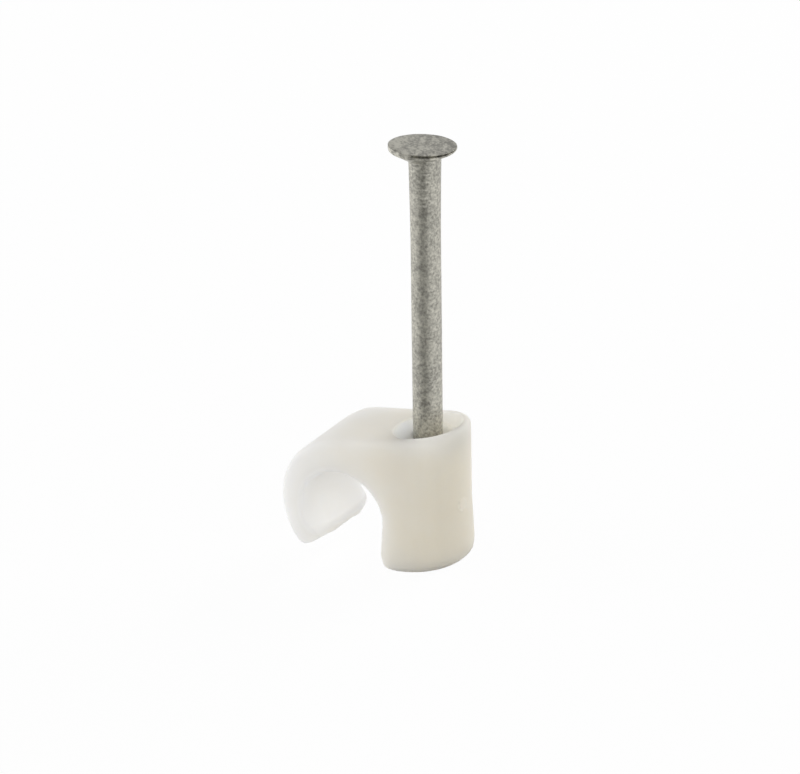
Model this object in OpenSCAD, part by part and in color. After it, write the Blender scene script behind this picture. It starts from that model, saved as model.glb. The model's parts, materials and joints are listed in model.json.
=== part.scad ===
// Nail-in cable clip: a moulded hook with a round nail boss, and the steel nail it carries.
// The wall face is Z = 0 and +Z points away from the wall. +Y runs along the cable, and the cable lies
// on the -X side of the nail. The nail's axis meets the wall at the origin and leans towards +X.

/* [Cable seat] */
// Diameter of the round seat that the cable lies in
seat_d = 6.2; // [5:0.1:8]
// Height of the seat's centre above the wall
seat_z = 4; // [3.4:0.05:5]
// Rounding of the seat's edges at the front and back faces
mouth_r = 0.25; // [0.1:0.05:0.5]

/* [Hook] */
// Width of the clip along the cable
clip_w = 6.4; // [5.5:0.1:9]
// Thickness of the hook over the cable
crown_t = 2.3; // [1.5:0.1:4]
// Thickness of the arm beside the cable
arm_t = 1.7; // [1:0.05:2.5]
// Gap between the hook's tip and the wall
tip_gap = 1; // [0.4:0.1:2]
// Rounding of the lip's corners
lip_r = 1.8; // [0.5:0.1:2.5]
// Rounding of the lip's end
lip_edge_r = 1.1; // [0.9:0.05:1.6]
// Rounding of the outer edges
edge_r = 0.5; // [0.2:0.05:0.6]

/* [Boss] */
// Lean of the nail and its boss away from the cable, in degrees
boss_lean = 10; // [4:0.1:14]
// Rise of the top from the hook's crown to the nail's axis
boss_rise = 0.2; // [0:0.05:1]
// Wall between the nail bore and the cable seat
web_t = 0.8; // [0.6:0.05:2]
// Draft of that wall below the seat, in degrees
web_draft = 4; // [0:0.5:8]
// Wall around the head recess
rim_t = 0.57; // [0.4:0.01:1.2]
// Depth of the head recess
recess_depth = 1.3; // [0.8:0.1:2.5]
// Height of the parting line, where the flared foot ends
parting_z = 4.2; // [2.5:0.05:5]
// Height of the foot's straight edge
foot_edge_h = 1.2; // [0.6:0.1:2]
// How far the foot flares out
foot_flare = 0.15; // [0.02:0.01:0.5]
// Rounding of the foot's lower edge
foot_edge_r = 0.15; // [0.1:0.05:0.4]
// Rounding of the leg's lower edge beside the cable
heel_r = 0.55; // [0.1:0.05:0.8]
// Diameter of the gate mark on the parting line
gate_d = 0.8; // [0.4:0.1:1.2]
// How far the gate mark stands proud
gate_h = 0.12; // [0.05:0.01:0.3]
// Turn of the gate mark from the boss's middle to the front, in degrees
gate_turn = 8; // [0:1:30]

/* [Nail] */
// Diameter of the nail's shank
nail_d = 2; // [1.6:0.1:2.5]
// Length of the nail under its head
nail_len = 25; // [18:1:40]
// How far the nail's point stands off the wall, along its axis
nail_back = 4.5; // [2:0.1:6]
// Diameter of the nail's head
head_d = 4.5; // [3.5:0.1:5.5]
// Thickness of the head's rim
head_rim_t = 0.28; // [0.15:0.01:0.4]
// Height of the cone under the head
head_cone_h = 0.5; // [0.2:0.05:0.8]
// Length of the nail's point
point_len = 2; // [1.5:0.1:4]

/* [Fits] */
// Gap between the nail and its bore, all round
nail_clear = 0.02; // [0.01:0.01:0.1]
// Gap between the nail's head and its recess, all round
head_clear = 0.1; // [0.02:0.01:0.3]

/* [Hidden] */
$fn = 96;
fine = 32;            // facets of the small edge roundings
edge_n = 4;           // steps in a rounded edge of the loft
arc_n = 48;           // steps round the boss's half circle
past = 1;             // how far a cut runs past the faces it opens

seat_r = seat_d / 2;
bore_r = nail_d / 2 + nail_clear;
recess_r = head_d / 2 + head_clear;
boss_r = recess_r + rim_t;
foot_r = boss_r + foot_flare;
web_x = bore_r + web_t;                                      // from the nail's axis to the seat's side of the leg
clip_h = seat_z + seat_r + crown_t;
leg_a = boss_lean + web_draft;                               // slope of the leg's side beside the cable
boss_h = clip_h + boss_rise;
seat_x = (seat_z * sin(boss_lean) - web_x - seat_r) / cos(boss_lean);
thicken = (crown_t - arm_t) / 2;                             // shift of the outer curve's centre from the seat's
outer_r = seat_r + (arm_t + crown_t) / 2;
outer_x = seat_x + thicken;
outer_z = seat_z + thicken;
tip_a = 180 + asin((outer_z - tip_gap) / outer_r);
tip_dir = [cos(tip_a), sin(tip_a)];                          // from the outer curve's centre to the tip
seat_off = [-thicken, -thicken];                             // from the outer curve's centre to the seat's
tip_in = seat_off * tip_dir + sqrt(seat_r * seat_r - seat_off * seat_off + pow(seat_off * tip_dir, 2));
tip_mid = (outer_r + tip_in) / 2;
lip_back = max(lip_r, lip_edge_r);                           // how far back the lip's rounding reaches
leg_x = seat_x + (seat_r - seat_z * sin(leg_a)) / cos(leg_a); // that side's foot, at the wall
heel_x = leg_x + heel_r * (1 + sin(leg_a)) / cos(leg_a);     // centre of the rounding under it
seat_sweep = 275;                                            // turn of the seat from the leg, past the tip

module lean() { rotate([0, boss_lean, 0]) children(); }

// Turns a shape so that its own Z axis lies along the cable
module along_cable() { rotate([90, 0, 0]) children(); }

// Point i of a rounded edge, as its inset and its drop from the sharp corner
function edge_step(r, i) = [r * (1 - cos(90 * i / edge_n)), r * (1 - sin(90 * i / edge_n))];

// One level of the body: the boss's half circle, and the width of the hook where its curve begins
function body_ring(z, r, w, slope) =
    let (x = z * tan(boss_lean), hook_z = z + (outer_x - x) * slope)
    concat(
        [[outer_x, -w / 2, hook_z]],
        [for (i = [0 : arc_n]) let (a = 180 * i / arc_n, out = r * sin(a)) [x + out, -r * cos(a), z + out * slope]],
        [[outer_x, w / 2, hook_z]]);

// Levels of the body as [height at the nail's axis, boss radius, hook width, slope], from the wall to the top
function body_levels() = concat(
    [for (i = [edge_n : -1 : 0]) let (s = edge_step(foot_edge_r, i))
        [s[1], foot_r - s[0], clip_w - 2 * s[0], 0]],
    [[foot_edge_h, foot_r, clip_w, 0], [parting_z, boss_r, clip_w, 0]],
    [for (i = [0 : edge_n]) let (s = edge_step(edge_r, i))
        [boss_h - s[1], boss_r - s[0], clip_w - 2 * s[0], top_slope(boss_h - s[1])]]);

// Slope of a level near the top, which keeps its height over the hook's crown
function top_slope(z) = boss_rise / (z * tan(boss_lean) - outer_x);

// Boss, crown and leg as one loft through those levels
module body_block() {
    levels = body_levels();
    m = arc_n + 3;
    top = (len(levels) - 1) * m;
    polyhedron(
        points = [for (l = levels) each body_ring(l[0], l[1], l[2], l[3])],
        faces = concat(
            [[for (i = [0 : m - 1]) i]],
            [for (k = [0 : len(levels) - 2], i = [0 : m - 1], half = [0, 1])
                let (p = k * m + i, q = k * m + (i + 1) % m)
                half == 0 ? [p, p + m, q] : [q, p + m, q + m]],
            [[for (i = [m - 1 : -1 : 0]) top + i]]));
}

// Section of the hook from its centre out, rounded at both outer corners
module hook_section(r) {
    corner = [for (i = [0 : edge_n]) let (s = edge_step(edge_r, i)) [r - s[1], clip_w / 2 - s[0]]];
    polygon(concat(
        [[0, -clip_w / 2]],
        [for (p = corner) [p[0], -p[1]]],
        [for (i = [edge_n : -1 : 0]) corner[i]],
        [[0, clip_w / 2]]));
}

// Curved arm, from the crown round to its lip
module arm() {
    translate([outer_x, 0, outer_z]) along_cable() difference() {
        rotate([0, 0, 90]) rotate_extrude(angle = tip_a - 90) hook_section(outer_r);
        rotate([0, 0, tip_a]) translate([tip_mid, -lip_back, 0]) difference() {
            translate([-lip_edge_r, 0, -clip_w]) cube([2 * lip_edge_r, lip_back + past, 2 * clip_w]);
            intersection() {
                linear_extrude(2 * clip_w, center = true) lip_side();
                rotate([0, 90, 0]) linear_extrude(4 * lip_edge_r, center = true) lip_plan();
            }
        }
    }
}

// The lip seen from its side: a bar with a full round end
module lip_side() {
    translate([-lip_edge_r, -past]) square([2 * lip_edge_r, past + lip_back - lip_edge_r]);
    translate([0, lip_back - lip_edge_r]) circle(lip_edge_r, $fn = fine);
}

// The lip seen from above: a bar with two rounded corners
module lip_plan() {
    translate([-clip_w / 2, -past]) square([clip_w, past + lip_back - lip_r]);
    translate([lip_r - clip_w / 2, -past]) square([clip_w - 2 * lip_r, past + lip_back]);
    for (side = [-1, 1]) translate([side * (clip_w / 2 - lip_r), lip_back - lip_r]) circle(lip_r, $fn = fine);
}

// Small round mark on the boss's outer side, where the moulding was gated
module gate_mark() {
    translate([parting_z * tan(boss_lean), 0, parting_z]) rotate([0, 90, -gate_turn])
        cylinder(d = gate_d, h = boss_r + gate_h, $fn = fine);
}

module clip_body() {
    color("ivory") difference() {
        union() {
            body_block();
            gate_mark();
            arm();
        }
        cable_way();
        heel();
        lean() translate([0, 0, -past]) cylinder(r = bore_r, h = boss_h + 2 * past);
        head_recess();
    }
}

// Section of the cable seat from its axis out, with the rounded mouths at both faces
module seat_section() {
    difference() {
        translate([0, -clip_w / 2 - past]) square([seat_r + mouth_r, clip_w + 2 * past]);
        translate([seat_r, -clip_w / 2 + mouth_r]) square([mouth_r, clip_w - 2 * mouth_r]);
        for (side = [-1, 1])
            translate([seat_r + mouth_r, side * (clip_w / 2 - mouth_r)]) circle(mouth_r, $fn = fine);
    }
}

// The round seat and the way in from the wall, along the leg
module cable_way() {
    along_leg() {
        along_cable() rotate_extrude(angle = seat_sweep) seat_section();
        translate([0, 0, -seat_z - past]) linear_extrude(seat_z + past) seat_section();
    }
}

// Puts a shape at the seat's centre, with its own -Z axis down along the leg
module along_leg() { translate([seat_x, 0, seat_z]) rotate([0, leg_a, 0]) children(); }

// What the rounding takes off along the leg's lower edge beside the cable
module heel() {
    out = heel_r + past;
    along_cable() linear_extrude(2 * clip_w, center = true) translate([heel_x, heel_r]) difference() {
        polygon([[0, 0], [0, -out], [-out, -out], [-out * cos(leg_a), out * sin(leg_a)]]);
        circle(heel_r, $fn = fine);
    }
}

module head_recess() {
    translate([boss_h * tan(boss_lean), 0, boss_h]) lean()
        translate([0, 0, -recess_depth]) cylinder(r = recess_r, h = recess_depth + past);
}

module nail() {
    color("darkgray") lean() translate([0, 0, nail_back]) rotate_extrude() polygon([
        [0, 0],
        [nail_d / 2, point_len],
        [nail_d / 2, nail_len - head_cone_h],
        [head_d / 2, nail_len],
        [head_d / 2, nail_len + head_rim_t],
        [0, nail_len + head_rim_t],
    ]);
}

clip_body();
nail();
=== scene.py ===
# %% [markdown]
# # A nail-in cable clip
# The real object is two pieces: a small hook of milky plastic that holds a cable to the wall, and the
# galvanised nail that comes with it, set part of the way into the hook's boss. The solids come from the
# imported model. This lesson dresses both of them and sets up the light and the camera.

# %% Load the frame
import json
import math

import bmesh
import bpy
import numpy as np
from mathutils import Matrix, Vector


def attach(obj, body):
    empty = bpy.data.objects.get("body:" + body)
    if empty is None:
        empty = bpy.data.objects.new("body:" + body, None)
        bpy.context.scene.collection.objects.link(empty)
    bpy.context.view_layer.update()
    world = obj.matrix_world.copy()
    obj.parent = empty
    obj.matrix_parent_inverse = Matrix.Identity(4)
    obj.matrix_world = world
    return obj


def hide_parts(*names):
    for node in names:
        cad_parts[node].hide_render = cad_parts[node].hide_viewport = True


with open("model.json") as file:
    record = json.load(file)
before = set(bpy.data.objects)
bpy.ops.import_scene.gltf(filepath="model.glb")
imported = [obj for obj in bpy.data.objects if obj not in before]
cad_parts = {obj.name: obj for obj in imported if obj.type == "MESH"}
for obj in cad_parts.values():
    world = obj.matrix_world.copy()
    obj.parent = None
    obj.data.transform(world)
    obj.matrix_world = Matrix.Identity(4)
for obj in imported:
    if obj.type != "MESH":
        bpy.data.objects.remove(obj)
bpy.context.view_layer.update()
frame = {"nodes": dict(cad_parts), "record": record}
nodes = frame["nodes"]
scene = bpy.context.scene
MM = 0.001

# %% [markdown]
# ## The camera
# The picture was taken from the front and a little to the right, from above, with the camera rolled so
# that the leaning nail stands upright. The angles, the distance and the scale below were found by laying
# the solids' outline over the picture. A long lens with no shift keeps the sides nearly parallel.

# %% Place the camera
IMAGE_W, IMAGE_H = 800, 774
VIEW_AZIMUTH, VIEW_ELEVATION, VIEW_ROLL = 35.31, 20.23, 9.99
VIEW_DISTANCE = 288.7 * MM
PIXELS_PER_MM = 14.881
ORIGIN_PIXEL = (429.5, 555.3)
SENSOR_MM = 36.0
CLIP_NEAR, CLIP_FAR = 0.01, 20

azimuth, elevation, roll = (math.radians(v) for v in (VIEW_AZIMUTH, VIEW_ELEVATION, VIEW_ROLL))
level_front = Vector((math.sin(azimuth), -math.cos(azimuth), 0))
level_right = Vector((math.cos(azimuth), math.sin(azimuth), 0))
view_back = math.cos(elevation) * level_front + Vector((0, 0, math.sin(elevation)))
level_up = view_back.cross(level_right)
view_right = math.cos(roll) * level_right - math.sin(roll) * level_up
view_up = math.sin(roll) * level_right + math.cos(roll) * level_up

origin_right = (ORIGIN_PIXEL[0] - IMAGE_W / 2) / PIXELS_PER_MM * MM
origin_up = (IMAGE_H / 2 - ORIGIN_PIXEL[1]) / PIXELS_PER_MM * MM
camera_place = view_back * VIEW_DISTANCE - view_right * origin_right - view_up * origin_up

camera_data = bpy.data.cameras.new("picture_camera")
camera_data.sensor_width = SENSOR_MM
camera_data.lens = PIXELS_PER_MM * (VIEW_DISTANCE / MM) / IMAGE_W * SENSOR_MM
camera_data.clip_start = CLIP_NEAR
camera_data.clip_end = CLIP_FAR
camera = bpy.data.objects.new("picture_camera", camera_data)
scene.collection.objects.link(camera)
camera.matrix_world = Matrix.Translation(camera_place) @ Matrix(
    (view_right, view_up, view_back)).transposed().to_4x4()
scene.camera = camera
scene.view_settings.view_transform = "Standard"
print("camera", [round(v / MM, 1) for v in camera_place], "lens", round(camera_data.lens, 1))

# %% [markdown]
# ## Helpers for node trees
# Shader trees and geometry trees are both lists of nodes joined by links, so a few short functions serve
# them all. The first adds a node and fills in its sockets: a plain value is set there, and another node's
# output is linked. The others name the kinds that come up most.


# %% Add and join nodes
def add_node(tree, kind, settings=None, **sockets):
    """Adds a node. A socket goes by its name, with _ for a space, or by its number, such as i0."""
    node = tree.nodes.new(kind)
    for name, value in (settings or {}).items():
        setattr(node, name, value)
    for name, value in sockets.items():
        key = int(name[1:]) if name[0] == "i" and name[1:].isdigit() else name.replace("_", " ")
        if isinstance(value, bpy.types.NodeSocket):
            tree.links.new(value, node.inputs[key])
        else:
            node.inputs[key].default_value = value
    return node


def math_node(tree, operation, *values, clamp=False):
    node = add_node(tree, "ShaderNodeMath", {"operation": operation, "use_clamp": clamp},
                    **{f"i{k}": v for k, v in enumerate(values)})
    return node.outputs[0]


def product(tree, first, *others):
    for value in others:
        first = math_node(tree, "MULTIPLY", first, value)
    return first


def vector_node(tree, operation, **sockets):
    return add_node(tree, "ShaderNodeVectorMath", {"operation": operation}, **sockets).outputs


def split(tree, vector):
    return add_node(tree, "ShaderNodeSeparateXYZ", Vector=vector).outputs


def map_range(tree, value, low, high, to_low=0.0, to_high=1.0, kind="LINEAR"):
    """Maps low and high to two other values, and holds those outside the range."""
    node = add_node(tree, "ShaderNodeMapRange", {"interpolation_type": kind}, Value=value,
                    From_Min=low, From_Max=high, To_Min=to_low, To_Max=to_high)
    return node.outputs["Result"]


def noise(tree, place, scale, detail, roughness=0.5):
    node = add_node(tree, "ShaderNodeTexNoise", Vector=place, Scale=scale, Detail=detail,
                    Roughness=roughness)
    return node.outputs["Fac"]


# %% Start a material
def new_material(name):
    """A material with its tree, its shader's sockets and its object coordinates."""
    material = bpy.data.materials.new(name)
    material.use_nodes = True
    tree = material.node_tree
    place = add_node(tree, "ShaderNodeTexCoord").outputs["Object"]
    return material, tree, tree.nodes["Principled BSDF"].inputs, place


def mix_tone(tree, share, tone, other):
    return add_node(tree, "ShaderNodeMix", {"data_type": "RGBA"}, i0=share, i6=tone, i7=other).outputs[2]


def mm_range(tree, value, span, to_low=0.0, to_high=1.0):
    """As map_range, over a span in millimetres."""
    return map_range(tree, value, span[0] * MM, span[1] * MM, to_low, to_high)


# %% [markdown]
# ## Sizes from the frame
# The nail leans with its boss, so several steps need its axis. Its solid is a stack of full rings, so the
# mean of all its points lies close to the axis, and heights and radii follow from that. The cable seat is
# one of the clip's mounts. The record in the frame gives its place and radius, and the hook's forms are
# counted from there.

# %% Measure the nail's solid
FULL_SHARE = 0.98   # share of a radius from which a ring counts as having it
SHANK_SHARE = 0.6   # share of the head's radius below which a ring belongs to the shank

nail_points = np.array([v.co for v in nodes["nail"].data.vertices])
nail_tip = Vector(nail_points[nail_points[:, 2].argmin()])
nail_axis = (Vector(nail_points.mean(axis=0)) - nail_tip).normalized()
heights = (nail_points - np.array(nail_tip)) @ np.array(nail_axis)
radii = np.linalg.norm(nail_points - np.array(nail_tip) - np.outer(heights, np.array(nail_axis)), axis=1)
nail_length = float(heights.max())
head_radius = float(radii.max())
on_shank = radii < head_radius * SHANK_SHARE
shank_radius = float(np.median(radii[on_shank]))
cone_bottom = float(heights[on_shank].max())
point_length = float(heights[radii > shank_radius * FULL_SHARE].min())
print("nail in mm: length", round(nail_length / MM, 2), "shank radius", round(shank_radius / MM, 3),
      "head radius", round(head_radius / MM, 3), "cone from", round(cone_bottom / MM, 2),
      "point", round(point_length / MM, 2))

# %% Find the cable seat, in millimetres
seat = next(m for m in frame["record"]["mounts"] if m["name"] == "cable_seat")
seat_x, seat_z = seat["pos_m"][0] / MM, seat["pos_m"][2] / MM
seat_r = seat["dims"]["r_mm"]
print("seat at x", round(seat_x, 2), "z", round(seat_z, 2), "radius", seat_r)

# %% [markdown]
# ## The plastic
# The clip is moulded in natural plastic, which is milky: light goes in, scatters and comes out again, so
# shadows are weak and thin walls look whiter than thick ones. A mix of diffuse and translucent shaders
# could stand for that, but subsurface scattering gives the same glow in one shader. The colour drifts from
# a cool white at the thin hook to a warm ivory at the thick boss, with a faint cloudy mottle, and the skin
# has the slight grain of a moulding. Light is painted into two places, which are made paler: the head
# recess, against the shade and the nail's shadow there, most of all on the crown's side, and the inside of
# the hook, for the light that comes through the thin arm. Each gets a mask, from its distance to the nail's
# axis or the cable's.
# A pair of values, here and below, gives the two ends of a fade.

# %% Masks for the painted light in the recess and the hook, in millimetres
RECESS_R = 2.35                                     # radius of the head recess
RECESS_INSIDE = (RECESS_R + 0.05, RECESS_R - 0.2)   # distances from the nail's axis
RECESS_HEIGHT = (7.6, 8.2)                          # heights along that axis
RECESS_SIDE, RECESS_LEAST = (3, 0.5), 0.25          # from X on the outer side to X near the crown
INNER_SKIN = (seat_r + 0.5, seat_r + 0.05)          # distances from the cable's axis
INNER_SIDE = (-3.5, -5.5)                           # X where the arm begins


def recess_painted_light_mask(tree, place):
    """Painted light in the head recess: 1 there and 0 outside, with less on the boss's outer side."""
    height = vector_node(tree, "DOT_PRODUCT", i0=place, i1=nail_axis)["Value"]
    on_axis = vector_node(tree, "SCALE", i0=nail_axis, Scale=height)["Vector"]
    radius = vector_node(tree, "DISTANCE", i0=place, i1=on_axis)["Value"]
    side = mm_range(tree, split(tree, place)["X"], RECESS_SIDE, RECESS_LEAST)
    return product(tree, mm_range(tree, radius, RECESS_INSIDE), mm_range(tree, height, RECESS_HEIGHT), side)


def hook_painted_light_mask(tree, place):
    """Painted light on the arm's inner side: 1 on the arm's skin beside the cable and 0 elsewhere."""
    spot = split(tree, place)
    in_section = add_node(tree, "ShaderNodeCombineXYZ", X=spot["X"], Z=spot["Z"]).outputs[0]
    seat_centre = Vector((seat_x * MM, 0, seat_z * MM))
    from_axis = vector_node(tree, "DISTANCE", i0=in_section, i1=seat_centre)["Value"]
    return product(tree, mm_range(tree, from_axis, INNER_SKIN), mm_range(tree, spot["X"], INNER_SIDE))


print("paler inside radius", RECESS_R, "of the recess and", seat_r, "of the hook")

# %% The milky plastic
THIN_TONE, THICK_TONE = (0.862, 0.856, 0.832, 1), (0.803, 0.738, 0.62, 1)
# Painted light: the recess is paler where shade and the nail's shadow fall, and the hook's inside where
# light comes through the arm
RECESS_PAINTED_LIGHT, INNER_PAINTED_LIGHT = (1, 0.975, 0.87, 1), (0.893, 0.888, 0.868, 1)
TONE_SPAN, TONE_SLANT = (-11, 1.6), -0.3   # X over which the tone drifts, and its change with height
CLOUD_SCALE, CLOUD_DETAIL, CLOUD_AMOUNT = 420.0, 3.0, 0.3
GRAIN_SCALE, GRAIN_DETAIL, GRAIN_STRENGTH, GRAIN_DEPTH = 2600.0, 2.0, 0.12, 0.02 * MM
PLASTIC_FINISH = {
    "Roughness": 0.48,
    "IOR": 1.5,
    "Specular IOR Level": 0.22,
    "Subsurface Weight": 1.0,
    "Subsurface Radius": (1.0, 0.96, 0.9),
    "Subsurface Scale": 4.0 * MM,
}


def milky_plastic():
    material, tree, shader, place = new_material("milky_clip_plastic")
    spot = split(tree, place)
    along = math_node(tree, "MULTIPLY_ADD", spot["Z"], TONE_SLANT, spot["X"])
    cloud = noise(tree, place, CLOUD_SCALE, CLOUD_DETAIL)
    cloud = math_node(tree, "MULTIPLY_ADD", cloud, CLOUD_AMOUNT, -CLOUD_AMOUNT / 2)
    warmth = math_node(tree, "ADD", mm_range(tree, along, TONE_SPAN), cloud, clamp=True)
    tone = mix_tone(tree, warmth, THIN_TONE, THICK_TONE)
    # Painted light: the recess and the inside of the hook are made paler than the rest
    tone = mix_tone(tree, recess_painted_light_mask(tree, place), tone, RECESS_PAINTED_LIGHT)
    tone = mix_tone(tree, hook_painted_light_mask(tree, place), tone, INNER_PAINTED_LIGHT)
    tree.links.new(tone, shader["Base Color"])
    grain = noise(tree, place, GRAIN_SCALE, GRAIN_DETAIL)
    bump = add_node(tree, "ShaderNodeBump", Height=grain, Strength=GRAIN_STRENGTH, Distance=GRAIN_DEPTH)
    tree.links.new(bump.outputs[0], shader["Normal"])
    for name, value in PLASTIC_FINISH.items():
        shader[name].default_value = value
    return material


clip_plastic = milky_plastic()
print("made", clip_plastic.name)

# %% [markdown]
# ## The clip
# The solid has the right form, but its edges are made of small flats, and a moulding's edges melt into its
# faces. Bevels would have to cope with hundreds of short edges. A voxel remesh turns the whole solid into an
# even skin of small quads instead, and a few rounds of smoothing then soften every edge alike. The mesh is
# worked on in millimetres, because the remesh counts in them.

# %% A soft skin over the clip's solid
MERGE_MM = 1e-4
SKIN_MM, SKIN_FACTOR, SKIN_ROUNDS = 0.08, 0.5, 2


def plain_mesh(obj):
    graph = bpy.context.evaluated_depsgraph_get()
    return bpy.data.meshes.new_from_object(obj.evaluated_get(graph), depsgraph=graph)


clip = bpy.data.objects.new("clip_body_soft", nodes["clip_body"].data.copy())
scene.collection.objects.link(clip)
clip.data.transform(Matrix.Scale(1 / MM, 4))
merge = bmesh.new()
merge.from_mesh(clip.data)
bmesh.ops.remove_doubles(merge, verts=merge.verts, dist=MERGE_MM)
merge.to_mesh(clip.data)
merge.free()
skin = clip.modifiers.new("skin", "REMESH")
skin.mode = "VOXEL"
skin.voxel_size = SKIN_MM
soften = clip.modifiers.new("soften", "SMOOTH")
soften.factor = SKIN_FACTOR
soften.iterations = SKIN_ROUNDS
soft_mesh = plain_mesh(clip)
clip.modifiers.clear()
clip.data = soft_mesh
print("clip skin", len(soft_mesh.vertices), "points")

# %% [markdown]
# Some places differ a little from the plain solid. The foot's rim and the leg's lower corners beside the
# cable are rounder, so each point there is moved towards the middle of its neighbours, many times over.
# A weight says how much a point takes part, and fades out away from the edge, so no step shows.


# %% Move points towards their neighbours
RELAX_STEP = 0.5


def smoothstep(low, high, value):
    """A soft step from 0 at low to 1 at high. Low may also be the larger of the two."""
    t = np.clip((value - low) / (high - low), 0, 1)
    return t * t * (3 - 2 * t)


def relax(points, edges, weight, rounds):
    near = weight > 0
    edges = edges[near[edges].any(axis=1)]
    count = np.maximum(np.bincount(edges.ravel(), minlength=len(points)), 1)[:, None]
    for _ in range(rounds):
        total = np.zeros_like(points)
        np.add.at(total, edges[:, 0], points[edges[:, 1]])
        np.add.at(total, edges[:, 1], points[edges[:, 0]])
        points = points + (total / count - points) * (RELAX_STEP * weight[:, None])
    return points


points = np.empty(len(soft_mesh.vertices) * 3)
soft_mesh.vertices.foreach_get("co", points)
points = points.reshape(-1, 3)
edges = np.empty(len(soft_mesh.edges) * 2, dtype=np.int64)
soft_mesh.edges.foreach_get("vertices", edges)
edges = edges.reshape(-1, 2)
print("clip edges", len(edges))

# %% Round the foot's rim and the leg's lower corners
FOOT_HEIGHT, FOOT_ROUNDS = (0.35, 1.1), 150   # heights at which the rim's rounding ends
FOOT_OUTSIDE = (1.7, 2.3)                     # distances from the nail where it begins
FOOT_BACK, FOOT_RIGHT = (-2.2, 0.6), (1, 3)   # Y and X towards the side that is roundest
FOOT_LEAST = 0.35                             # share that the other sides get
LEG_FOOT_Z = 1                                # height below which the leg's side is looked for
LEG_CORNER, LEG_ROUNDS = (0.5, 1.4), 60       # distances from the leg's lower corners

half_w = points[:, 1].max()
leg_x = points[(points[:, 2] < LEG_FOOT_Z) & (points[:, 0] > seat_x), 0].min()
from_nail = np.hypot(points[:, 0], points[:, 1])
foot_rim = (1 - smoothstep(*FOOT_HEIGHT, points[:, 2])) * smoothstep(*FOOT_OUTSIDE, from_nail)
roundest = smoothstep(*FOOT_BACK, points[:, 1]) * smoothstep(*FOOT_RIGHT, points[:, 0])
foot_rim = foot_rim * (FOOT_LEAST + (1 - FOOT_LEAST) * roundest)
points = relax(points, edges, foot_rim, FOOT_ROUNDS)
from_corner = np.sqrt((points[:, 0] - leg_x) ** 2 + (np.abs(points[:, 1]) - half_w) ** 2 + points[:, 2] ** 2)
points = relax(points, edges, 1 - smoothstep(*LEG_CORNER, from_corner), LEG_ROUNDS)
print("leg's foot at x", round(leg_x, 2), "half width", round(half_w, 2))

# %% [markdown]
# In the picture the head recess looks shallow, and its edge towards the crown melts away. So its floor is
# lifted a little along the nail's axis, more on the crown's side, and that edge is relaxed like the foot's.

# %% Lift the recess's floor and soften its edge
RECESS_FLOOR, RECESS_TOP = 8.45, 9.75                    # heights along the nail's axis
RECESS_LIFT, CROWN_LIFT = 0.35, 0.45                     # lift of the floor, and what the crown's side adds
LIFT_HEIGHT = (6.5, 8.2)                                 # heights at which the lift begins, in the bore
LIFT_INSIDE = (RECESS_R - 0.05, RECESS_R + 0.15)         # distances from the axis at which it ends
CROWN_SIDE = (-0.2, 1.8)                                 # X at which the crown's side ends
EDGE_WIDTH, EDGE_ROUNDS = (0.4, 0.9), 80                 # distances from the recess's wall
EDGE_HEIGHT = (RECESS_FLOOR - 0.3, RECESS_FLOOR + 0.1)   # heights at which the softened edge begins

axis = np.array(nail_axis)
height = points @ axis
radius = np.linalg.norm(points - np.outer(height, axis), axis=1)
crown_side = 1 - smoothstep(*CROWN_SIDE, points[:, 0])
lift = np.clip((RECESS_TOP - height) / (RECESS_TOP - RECESS_FLOOR), 0, 1)
lift = lift * smoothstep(*LIFT_HEIGHT, height) * (1 - smoothstep(*LIFT_INSIDE, radius))
lift = lift * (RECESS_LIFT + CROWN_LIFT * crown_side)
points = points + np.outer(lift, axis)
edge = 1 - smoothstep(*EDGE_WIDTH, np.abs(radius - RECESS_R))
edge = edge * crown_side * smoothstep(*EDGE_HEIGHT, height)
points = relax(points, edges, edge, EDGE_ROUNDS)
print("recess floor lifted by", round(lift.max(), 2), "mm")

# %% [markdown]
# The boss's rim stands a touch higher on its outer side, and the shoulder over the cable is flatter than a
# plain arc. The arc's own centre lies a little above the seat's and nearer to the nail, and the shoulder is
# moved towards that one.

# %% Raise the rim and flatten the shoulder
RIM_LIFT, RIM_HEIGHT, RIM_SIDE = 0.04, (8.4, 9.4), (-1, 2)   # the pairs are heights and X
OUTER_SHIFT, OUTER_R = 0.3, 5.1                              # the outer arc's centre and radius
OUTER_SKIN = (OUTER_R - 1.2, OUTER_R - 0.2)                  # distances from that centre
SHOULDER_MIDDLE, SHOULDER_HALF = 117, 18                     # degrees round it
SHOULDER_DEPTH = 0.06

points[:, 2] += RIM_LIFT * smoothstep(*RIM_HEIGHT, points[:, 2]) * smoothstep(*RIM_SIDE, points[:, 0])
right = points[:, 0] - seat_x - OUTER_SHIFT
over = points[:, 2] - seat_z - OUTER_SHIFT
off_middle = np.degrees(np.arctan2(over, right)) - SHOULDER_MIDDLE
dip = SHOULDER_DEPTH * smoothstep(SHOULDER_HALF, 0, np.abs(off_middle))
flat = 1 - dip / OUTER_R * smoothstep(*OUTER_SKIN, np.hypot(right, over))
points[:, 0] = seat_x + OUTER_SHIFT + right * flat
points[:, 2] = seat_z + OUTER_SHIFT + over * flat
print("shoulder flattened by", round(OUTER_R * (1 - flat.min()), 2), "mm")

# %% [markdown]
# The lip's far corner is squarer than its near one, its end runs in a slant, and the arm is a little
# thicker at the back. These moves are made in the arm's own terms: the angle round the cable, the distance
# from the cable's axis, and the distance from the nearest face. The first draws the lip's end out where a
# corner's rounding had taken it back. It must keep the end's own round section, which is read from the
# middle of the lip, where no corner reaches. The second brings the inner side nearer to the cable.

# %% Measure the lip
ARM_FROM, ARM_TO = 100, 260   # degrees round the cable
ARM_MIDDLE = seat_r + 0.8     # radius of the arm's middle
NO_CORNER = 1                 # distance from the clip's middle that no corner reaches
PROFILE_STEPS = 24

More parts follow.
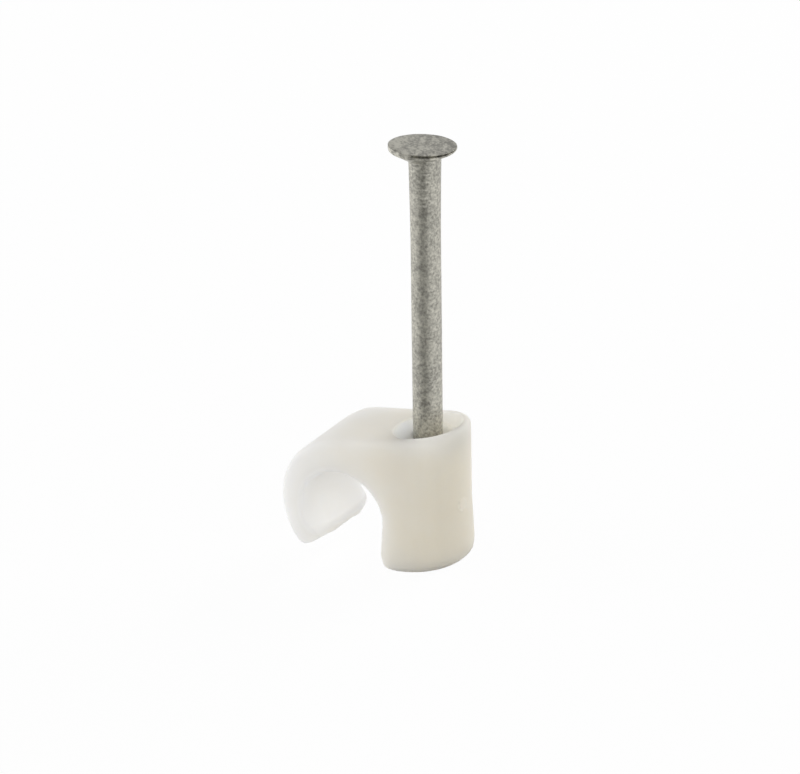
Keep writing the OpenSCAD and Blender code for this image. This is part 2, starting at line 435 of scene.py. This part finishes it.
around = np.degrees(np.arctan2(points[:, 2] - seat_z, points[:, 0] - seat_x)) % 360
out = np.hypot(points[:, 0] - seat_x, points[:, 2] - seat_z)
arm = (around > ARM_FROM) & (around < ARM_TO)
lip_end = around[arm].max()
from_end = np.radians(lip_end - around) * ARM_MIDDLE
from_side = half_w - np.abs(points[:, 1])
to_back = np.clip(points[:, 1] / half_w, -1, 1) / 2 + 0.5
middle = arm & (np.abs(points[:, 1]) < NO_CORNER)
steps = np.linspace(out[middle].min(), out[middle].max(), PROFILE_STEPS)
step_of = np.digitize(out[middle], steps)
profile = [from_end[middle][step_of == k].min() for k in range(1, PROFILE_STEPS)]
round_end = np.interp(out, (steps[:-1] + steps[1:]) / 2, profile)
print("lip ends at", round(lip_end, 1), "degrees round the cable")

# %% Shape the lip's corners and the arm's back
SOLID_CORNER_R, NEAR_CORNER_R, FAR_CORNER_R = 1.8, 1.3, 0.15
END_PLACES, END_MOVES = (0, 0.5, 1), (-0.24, 0.14, 0.17)   # the end's slant, from near face to far
LIP_REACH = (1.6, 4.2)                                     # distances from the end where that fades
LIP_SOFT, LIP_ROUNDS = (1.2, 2.4), 8                       # and where the last smoothing fades
BACK_THICKER, BACK_FROM, BACK_POWER = 0.6, 1 / 3, 1.3      # from a third of the way back, ever faster
BACK_AROUND = (125, 165)                                   # degrees round the cable
BACK_INSIDE = (seat_r + 0.2, seat_r + 1.5)                 # distances from its axis


def rounding(radius, from_side):
    """How far a corner of that radius falls back from the end, at a distance from the side."""
    t = np.clip(radius - from_side, 0, radius)
    return radius - np.sqrt(radius ** 2 - t ** 2)


corner_r = np.where(points[:, 1] > 0, FAR_CORNER_R, NEAR_CORNER_R)
before = np.maximum(rounding(SOLID_CORNER_R, from_side), round_end)
after = np.maximum(rounding(corner_r, from_side), round_end)
drawn_out = before - after + np.interp(to_back, END_PLACES, END_MOVES)
drawn_out = np.where(arm, drawn_out * (1 - smoothstep(*LIP_REACH, from_end)), 0)
around = around + np.degrees(drawn_out / ARM_MIDDLE)

thicker = np.clip((to_back - BACK_FROM) / (1 - BACK_FROM), 0, 1) ** BACK_POWER
thicker = thicker * smoothstep(*BACK_AROUND, around) * (1 - smoothstep(*BACK_INSIDE, out))
out = out - BACK_THICKER * thicker
points[arm, 0] = (seat_x + out * np.cos(np.radians(around)))[arm]
points[arm, 2] = (seat_z + out * np.sin(np.radians(around)))[arm]
points = relax(points, edges, np.where(arm, 1 - smoothstep(*LIP_SOFT, from_end), 0), LIP_ROUNDS)
print("lip's corner drawn out", round(drawn_out.max(), 2), "mm, arm thicker by", BACK_THICKER, "mm")

# %% Finish the clip
soft_mesh.vertices.foreach_set("co", (points * MM).ravel())
soft_mesh.update()
soft_mesh.shade_smooth()
clip.data.materials.clear()
clip.data.materials.append(clip_plastic)
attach(clip, "root")
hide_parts("clip_body")
print("clip faces", len(soft_mesh.polygons))

# %% [markdown]
# ## The galvanised steel
# The nail is dipped in zinc, which sets dull, grey and finely grainy. A picture of zinc would need a map and
# blur close up, so noise makes it here. The base is a metal of middle roughness. Two sizes of noise mottle
# its colour: small flecks like the zinc's grain, and wider, softer patches. The same grain drives the bump,
# so that the flecks catch the light unevenly. The struck head has longer marks as well, from a noise that is
# stretched along one direction, and a painted shade makes the head a little lighter on one side and darker
# on the other.

# %% The zinc skin
FLECK_SCALE, FLECK_DETAIL, FLECK_ROUGHNESS = 5600.0, 2.0, 0.6
PATCH_SCALE, PATCH_DETAIL, PATCH_AMOUNT = 900.0, 2.0, 0.35
STRIKE_TURN = math.radians(35.31)   # turn of the marks on the head, about the upright
MARK_STRETCH, MARK_SCALE, MARK_DETAIL, MARK_AMOUNT = 2.9, 2600.0, 3.0, 1.1
HEAD_HEIGHT = (28.4, 28.8)
# painted shade across the head: lighter on one side and darker on the other
HEAD_SHADE_SPAN, HEAD_SHADE_AMOUNT = (2.2, 6.2), 0.06
ZINC_TONES = ((0.32, (0.275, 0.267, 0.237, 1)), (0.68, (0.6, 0.585, 0.515, 1)))   # dark and light
ZINC_ROUGHNESS, ZINC_METALLIC = (0.38, 0.56), 0.85
FLECK_STRENGTH, FLECK_DEPTH = 0.22, 0.03 * MM


def head_marks_and_shade(tree, place):
    """Marks along one direction of the head and a painted shade across them, lighter on one side, and 0
    below the head.
    """
    stretched = add_node(tree, "ShaderNodeMapping", {"vector_type": "TEXTURE"}, Vector=place,
                         Rotation=(0, 0, STRIKE_TURN), Scale=(1, MARK_STRETCH, 1)).outputs[0]
    marks = noise(tree, stretched, MARK_SCALE, MARK_DETAIL)
    marks = math_node(tree, "MULTIPLY_ADD", marks, MARK_AMOUNT, -MARK_AMOUNT / 2)
    crosswise = Vector((math.cos(STRIKE_TURN), math.sin(STRIKE_TURN), 0))
    across = vector_node(tree, "DOT_PRODUCT", i0=place, i1=crosswise)["Value"]
    # Painted shade: the head's tone is raised on one side and lowered on the other
    marks = math_node(tree, "ADD", marks, mm_range(tree, across, HEAD_SHADE_SPAN, HEAD_SHADE_AMOUNT, -HEAD_SHADE_AMOUNT))
    return product(tree, marks, mm_range(tree, split(tree, place)["Z"], HEAD_HEIGHT))


def galvanised_steel():
    material, tree, shader, place = new_material("galvanised_nail")
    fleck = noise(tree, place, FLECK_SCALE, FLECK_DETAIL, FLECK_ROUGHNESS)
    patch = noise(tree, place, PATCH_SCALE, PATCH_DETAIL)
    mottle = math_node(tree, "MULTIPLY_ADD", patch, PATCH_AMOUNT, -PATCH_AMOUNT / 2)
    mottle = math_node(tree, "ADD", fleck, mottle)
    mottle = math_node(tree, "ADD", mottle, head_marks_and_shade(tree, place))
    tone = add_node(tree, "ShaderNodeValToRGB", Fac=mottle)
    for stop, (position, colour) in zip(tone.color_ramp.elements, ZINC_TONES):
        stop.position = position
        stop.color = colour
    tree.links.new(tone.outputs["Color"], shader["Base Color"])
    tree.links.new(map_range(tree, patch, 0.0, 1.0, *ZINC_ROUGHNESS), shader["Roughness"])
    bump = add_node(tree, "ShaderNodeBump", Height=mottle, Strength=FLECK_STRENGTH, Distance=FLECK_DEPTH)
    tree.links.new(bump.outputs[0], shader["Normal"])
    shader["Metallic"].default_value = ZINC_METALLIC
    return material


nail_steel = galvanised_steel()
print("made", nail_steel.name)

# %% [markdown]
# ## The nail
# A nail is wire with one end struck flat, so its shape follows a rule: a radius for each point along its
# axis. A profile could be spun in mesh code, but a geometry tree keeps every size as a named input. It draws
# a line, spreads its points so that the head gets more of them, and sweeps a circle along it with the radius
# that belongs to each height. The main sizes come from the solid itself.

# %% The wire, upright on its point
RINGS_SHANK, RINGS_HEAD, RING_POINTS = 480, 60, 96
POINT_SHARE = 0.03   # radius at the very point, as a share of the shank's
DOME_END = 0.9999    # just short of 1, so that the top keeps a small face


def wire_line(tree, size):
    line = add_node(tree, "GeometryNodeCurvePrimitiveLine").outputs[0]
    line = add_node(tree, "GeometryNodeResampleCurve", Curve=line, Count=RINGS_SHANK + RINGS_HEAD).outputs[0]
    ring = add_node(tree, "GeometryNodeInputIndex").outputs[0]
    shank = map_range(tree, ring, 0, RINGS_SHANK, 0.0, size["Cone Bottom"])
    head_height = math_node(tree, "SUBTRACT", size["Length"], size["Cone Bottom"])
    head = map_range(tree, ring, RINGS_SHANK, RINGS_SHANK + RINGS_HEAD - 1, 0.0, head_height)
    spot = add_node(tree, "ShaderNodeCombineXYZ", Z=math_node(tree, "ADD", shank, head)).outputs[0]
    return add_node(tree, "GeometryNodeSetPosition", Geometry=line, Position=spot).outputs[0]


def wire_radius(tree, size):
    """Point and shank, a neck that swells slowly, the cone under the head, and a low domed top."""
    up = split(tree, add_node(tree, "GeometryNodeInputPosition").outputs[0])["Z"]
    tip = product(tree, size["Shank Radius"], POINT_SHARE)
    radius = map_range(tree, up, 0.0, size["Point Length"], tip, size["Shank Radius"])
    spread = math_node(tree, "SUBTRACT", size["Head Radius"], size["Shank Radius"])
    cone = map_range(tree, up, size["Cone Bottom"], size["Rim Bottom"], 0.0, spread)
    neck_low = math_node(tree, "SUBTRACT", size["Cone Bottom"], size["Neck Length"])
    neck = map_range(tree, up, neck_low, size["Cone Bottom"])
    neck_end = map_range(tree, up, size["Cone Bottom"], size["Rim Bottom"], 1.0, 0.0)
    neck = product(tree, neck, neck, size["Neck Rise"], neck_end)
    radius = math_node(tree, "ADD", math_node(tree, "ADD", radius, cone), neck)
    dome_low = math_node(tree, "SUBTRACT", size["Length"], size["Dome Height"])
    dome = map_range(tree, up, dome_low, size["Length"], 0.0, DOME_END)
    dome = math_node(tree, "SQRT", math_node(tree, "SUBTRACT", 1.0, product(tree, dome, dome)))
    return product(tree, radius, dome)


def swept_wire(tree, size):
    circle = add_node(tree, "GeometryNodeCurvePrimitiveCircle", Resolution=RING_POINTS, Radius=1.0)
    sweep = add_node(tree, "GeometryNodeCurveToMesh", Curve=wire_line(tree, size),
                     Profile_Curve=circle.outputs[0], Scale=wire_radius(tree, size), Fill_Caps=True)
    return sweep.outputs[0]


# %% [markdown]
# The second half of the tree moves the skin by small amounts. A fine noise and a wider one roughen the zinc.
# The jaws that held the wire left a row of faint marks under the head, on two sides. Striking left the head
# off its axis and tilted, with a crease under its edge on one side and a cone that hangs lower on another.

# %% Zinc and grip marks
ROUGH_SCALE, ROUGH_DETAIL = 5200.0, 2.0
TOOTH_SPAN, GRIP_FADE = (0.5, 0.3), 0.7      # shares of a tooth's pitch, and of the marked length
JAW_SPAN = (0.8, 0.97)                       # cosines of the turn from the jaws' middle
BITE_SPAN, BITE_LEAST = (0.35, 0.6), 0.35    # dents that thin the marks out, and what is left there


def towards(tree, place, bearing):
    """Cosine of the turn from a bearing round the nail: 1 where a point faces that way."""
    turn = math_node(tree, "ARCTAN2", place["Y"], place["X"])
    return math_node(tree, "COSINE", math_node(tree, "SUBTRACT", turn, bearing))


def zinc_rise(tree, size, here, dent):
    rough = math_node(tree, "SUBTRACT", noise(tree, here, ROUGH_SCALE, ROUGH_DETAIL), 0.5)
    rise = math_node(tree, "ADD", rough, math_node(tree, "SUBTRACT", dent, 0.5))
    return product(tree, rise, size["Zinc Grain"])


def grip_marks(tree, size, place, dent):
    below = math_node(tree, "SUBTRACT", size["Cone Bottom"], place["Z"])
    tooth = math_node(tree, "PINGPONG", below, product(tree, size["Grip Pitch"], 0.5))
    tooth = math_node(tree, "DIVIDE", tooth, size["Grip Pitch"])
    tooth = map_range(tree, tooth, *TOOTH_SPAN, 1.0, 0.0, "SMOOTHSTEP")
    jaw = math_node(tree, "ABSOLUTE", towards(tree, place, size["Grip Bearing"]))
    jaw = map_range(tree, jaw, *JAW_SPAN, kind="SMOOTHSTEP")
    fade_from = product(tree, size["Grip Length"], GRIP_FADE)
    fade = map_range(tree, below, fade_from, size["Grip Length"], 1.0, 0.0)
    start = map_range(tree, below, 0.0, size["Grip Pitch"])
    bite = map_range(tree, dent, *BITE_SPAN, BITE_LEAST, 1.0)
    return product(tree, tooth, jaw, fade, start, bite, size["Grip Depth"])


# %% Crease and struck head
CREASE_TOP, CREASE_BOTTOM = (0.5, 0.8), (1.6, 2.2)   # depths below the top, in crease heights
CREASE_SIDE = (0.35, 0.75)                           # cosines of the turn from the crease's middle
SAG_LENGTH = 3.0                                     # length over which the sag begins, in sags


def edge_crease(tree, size, place):
    below_top = math_node(tree, "SUBTRACT", size["Length"], place["Z"])
    below_top = math_node(tree, "DIVIDE", below_top, size["Crease Height"])
    top = map_range(tree, below_top, *CREASE_TOP)
    bottom = map_range(tree, below_top, *CREASE_BOTTOM, 1.0, 0.0)
    side = map_range(tree, towards(tree, place, size["Crease Bearing"]), *CREASE_SIDE)
    return product(tree, top, bottom, side, size["Crease Depth"])


def struck_head(tree, size, place):
    """How the striking moved the head sideways, tilted its top and let one side of the cone sag."""
    shift = map_range(tree, place["Z"], size["Cone Bottom"], size["Rim Bottom"], 0.0, size["Head Shift"])
    tilt = map_range(tree, place["Z"], size["Rim Bottom"], size["Length"], 0.0, size["Head Tilt"])
    sag_low = math_node(tree, "SUBTRACT", size["Cone Bottom"], product(tree, size["Cone Sag"], SAG_LENGTH))
    sag = map_range(tree, place["Z"], sag_low, size["Cone Bottom"], 0.0, size["Cone Sag"])
    sag_end = map_range(tree, place["Z"], size["Cone Bottom"], size["Rim Bottom"], 1.0, 0.0)
    side = math_node(tree, "MAXIMUM", towards(tree, place, size["Sag Bearing"]), 0.0)
    rise = math_node(tree, "SUBTRACT", product(tree, tilt, place["Y"]), product(tree, sag, sag_end, side))
    return add_node(tree, "ShaderNodeCombineXYZ", X=shift, Z=rise).outputs[0]


# %% The nail's geometry tree
DENT_SCALE, DENT_DETAIL = 700.0, 1.0


def nail_tree(names):
    tree = bpy.data.node_groups.new("nail_from_wire", "GeometryNodeTree")
    for name in names:
        tree.interface.new_socket(name=name, in_out="INPUT", socket_type="NodeSocketFloat")
    tree.interface.new_socket(name="Skin", in_out="INPUT", socket_type="NodeSocketMaterial")
    tree.interface.new_socket(name="Geometry", in_out="OUTPUT", socket_type="NodeSocketGeometry")
    size = tree.nodes.new("NodeGroupInput").outputs

    here = add_node(tree, "GeometryNodeInputPosition").outputs[0]
    outward = add_node(tree, "GeometryNodeInputNormal").outputs[0]
    place = split(tree, here)
    dent = noise(tree, here, DENT_SCALE, DENT_DETAIL)
    rise = zinc_rise(tree, size, here, dent)
    rise = math_node(tree, "SUBTRACT", rise, grip_marks(tree, size, place, dent))
    rise = math_node(tree, "SUBTRACT", rise, edge_crease(tree, size, place))
    push = vector_node(tree, "SCALE", i0=outward, Scale=rise)["Vector"]
    push = vector_node(tree, "ADD", i0=push, i1=struck_head(tree, size, place))["Vector"]
    body = add_node(tree, "GeometryNodeSetPosition", Geometry=swept_wire(tree, size), Offset=push).outputs[0]
    body = add_node(tree, "GeometryNodeRealizeInstances", Geometry=body).outputs[0]
    body = add_node(tree, "GeometryNodeSetMaterial", Geometry=body, Material=size["Skin"]).outputs[0]
    add_node(tree, "NodeGroupOutput", Geometry=body)
    return tree


# %% The nail's sizes
HEAD_RIM, HEAD_ROUND, HEAD_RAISED = 0.2 * MM, 0.06 * MM, 0.03 * MM
CONE_LONGER = 0.1 * MM

nail_top = nail_length + HEAD_RAISED
nail_sizes = {
    "Length": nail_top,
    "Shank Radius": shank_radius,
    "Point Length": point_length,
    "Cone Bottom": cone_bottom - CONE_LONGER,
    "Rim Bottom": nail_top - HEAD_RIM,
    "Head Radius": head_radius - HEAD_ROUND,
    "Dome Height": 0.03 * MM,
    "Neck Length": 7 * MM,
    "Neck Rise": 0.08 * MM,
    "Zinc Grain": 0.014 * MM,
    "Grip Pitch": 0.55 * MM,
    "Grip Length": 4.2 * MM,
    "Grip Depth": 0.03 * MM,
    "Grip Bearing": STRIKE_TURN - math.radians(102),
    "Crease Height": 0.06 * MM,
    "Crease Depth": 0.22 * MM,
    "Crease Bearing": STRIKE_TURN - math.radians(62),
    "Head Shift": -0.16 * MM,
    "Head Tilt": -0.095,   # slope along the cable
    "Cone Sag": 0.28 * MM,
    "Sag Bearing": STRIKE_TURN + math.radians(180),
}
print("nail sizes", len(nail_sizes))

# %% Build the nail
SHARP_ANGLE = math.radians(40)


def set_input(modifier, name, value):
    for item in modifier.node_group.interface.items_tree:
        if item.item_type == "SOCKET" and item.in_out == "INPUT" and item.name == name:
            modifier[item.identifier] = value


nail = bpy.data.objects.new("nail_galvanised", bpy.data.meshes.new("nail_galvanised"))
scene.collection.objects.link(nail)
wire = nail.modifiers.new("wire", "NODES")
wire.node_group = nail_tree(nail_sizes)
set_input(wire, "Skin", nail_steel)
for name, value in nail_sizes.items():
    set_input(wire, name, value)
nail_mesh = plain_mesh(nail)
nail.modifiers.clear()
nail.data = nail_mesh
along_cable = Vector((0, 1, 0))
nail_turn = Matrix((along_cable.cross(nail_axis), along_cable, nail_axis)).transposed().to_4x4()
nail_mesh.transform(Matrix.Translation(nail_tip) @ nail_turn)
nail_mesh.update()
nail_mesh.shade_smooth()
nail_mesh.set_sharp_from_angle(angle=SHARP_ANGLE)
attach(nail, "root")
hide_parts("nail")
print("nail", len(nail_mesh.polygons), "faces")

# %% [markdown]
# ## The studio
# The picture is a plain one on white. A pale floor carries the clip and keeps its soft shadow, and to the
# camera, and in reflections, it is nearly white. A low dark card in front of the clip, which only
# reflections show, gives the nail its dark middle.


# %% Floor
def flat_piece(name, corners, material):
    mesh = bpy.data.meshes.new(name)
    mesh.from_pydata(corners, [], [tuple(range(len(corners)))])
    mesh.materials.append(material)
    obj = bpy.data.objects.new(name, mesh)
    scene.collection.objects.link(obj)
    return obj


FLOOR_WHITE, FLOOR_HALF, FLOOR_DROP = 0.96, 1.2, -0.02 * MM
PAPER_WHITE = (0.95, 0.95, 0.95, 1)

floor_paper = bpy.data.materials.new("floor_paper")
floor_paper.use_nodes = True
tree = floor_paper.node_tree
tree.nodes.clear()
path = add_node(tree, "ShaderNodeLightPath").outputs
seen = math_node(tree, "MAXIMUM", path["Is Camera Ray"], path["Is Glossy Ray"])
seen = math_node(tree, "MAXIMUM", seen, path["Is Transmission Ray"])
paper = add_node(tree, "ShaderNodeBsdfDiffuse", Color=PAPER_WHITE).outputs[0]
glow = add_node(tree, "ShaderNodeEmission", Strength=1.0).outputs[0]
mixed = add_node(tree, "ShaderNodeMixShader", i0=product(tree, seen, FLOOR_WHITE), i1=paper, i2=glow)
add_node(tree, "ShaderNodeOutputMaterial", Surface=mixed.outputs[0])
square = [(-1, -1), (1, -1), (1, 1), (-1, 1)]
flat_piece("floor", [(x * FLOOR_HALF, y * FLOOR_HALF, FLOOR_DROP) for x, y in square], floor_paper)
print("floor laid")

# %% Card
CARD_NEAR, CARD_FAR, CARD_HEIGHT = 10 * MM, 260 * MM, 1 * MM
CARD_HALF_ANGLE, CARD_TURN = 37, -24
CARD_GREY, CARD_ROUGHNESS = (0.27, 0.27, 0.25, 1), 0.9

card_grey = bpy.data.materials.new("card_grey")
card_grey.use_nodes = True
card_shader = card_grey.node_tree.nodes["Principled BSDF"].inputs
card_shader["Base Color"].default_value = CARD_GREY
card_shader["Roughness"].default_value = CARD_ROUGHNESS
fan = []
for distance, side in ((CARD_NEAR, -1), (CARD_FAR, -1), (CARD_FAR, 1), (CARD_NEAR, 1)):
    bearing = azimuth + math.radians(CARD_TURN + side * CARD_HALF_ANGLE)
    fan.append((math.sin(bearing) * distance, -math.cos(bearing) * distance, CARD_HEIGHT))
card = flat_piece("dark_card", fan, card_grey)
card.visible_camera = False
card.visible_diffuse = False
card.visible_shadow = False
print("card laid")

# %% [markdown]
# Two soft lamps stand behind the clip, left and right, and a weak one low in front. The surroundings give
# more light from the left and from below than from above, as a white table does. To the camera they are
# white, and in reflections they go from white at the floor to grey higher up. A picture of a studio could
# light the clip too, but a few lamps are easier to follow and to change.

# %% Surroundings
AMBIENT = 0.7
MORE_RIGHT, MORE_BACK, MORE_UP = -0.44, -0.15, -0.42
SKY_LOW, SKY_HIGH, SKY_SPAN = 1.0, 0.5, (0.05, 0.4)

world = bpy.data.worlds.new("white_surround")
scene.world = world
world.use_nodes = True
tree = world.node_tree
path = add_node(tree, "ShaderNodeLightPath").outputs
ray = add_node(tree, "ShaderNodeTexCoord").outputs["Generated"]
lean = MORE_RIGHT * level_right - MORE_BACK * level_front + Vector((0, 0, MORE_UP))
around_light = vector_node(tree, "DOT_PRODUCT", i0=ray, i1=lean)["Value"]
around_light = math_node(tree, "MAXIMUM", math_node(tree, "ADD", around_light, AMBIENT), 0.0)
sky = map_range(tree, split(tree, ray)["Z"], *SKY_SPAN, SKY_LOW, SKY_HIGH, "SMOOTHSTEP")
seen = math_node(tree, "MAXIMUM", path["Is Camera Ray"], path["Is Transmission Ray"])
strength = math_node(tree, "SUBTRACT", sky, around_light)
strength = math_node(tree, "MULTIPLY_ADD", strength, path["Is Glossy Ray"], around_light)
strength = math_node(tree, "MULTIPLY_ADD", math_node(tree, "SUBTRACT", 1.0, strength), seen, strength)
back = tree.nodes["Background"]
back.inputs["Color"].default_value = (1, 1, 1, 1)
tree.links.new(strength, back.inputs["Strength"])
print("surroundings ready")

# %% Lamps
LAMP_DISTANCE, LAMP_SIZE, LAMP_AIM = 0.45, 0.3, Vector((0, 0, 12 * MM))


def soft_lamp(name, turn, height, power):
    """A square lamp that looks at the clip; turn is its bearing from the camera's, to the right."""
    bearing = azimuth + math.radians(turn)
    rise = math.radians(height)
    away = Vector((math.sin(bearing) * math.cos(rise), -math.cos(bearing) * math.cos(rise), math.sin(rise)))
    data = bpy.data.lights.new(name, "AREA")
    data.shape = "SQUARE"
    data.size = LAMP_SIZE
    data.energy = power
    lamp = bpy.data.objects.new(name, data)
    scene.collection.objects.link(lamp)
    look = away.to_track_quat("Z", "Y").to_matrix().to_4x4()
    lamp.matrix_world = Matrix.Translation(LAMP_AIM + away * LAMP_DISTANCE) @ look


soft_lamp("lamp_left_back", turn=-120, height=20, power=0.6)
soft_lamp("lamp_right_back", turn=115, height=27, power=1.2)
soft_lamp("lamp_front", turn=30, height=12, power=0.34)
print("studio ready")
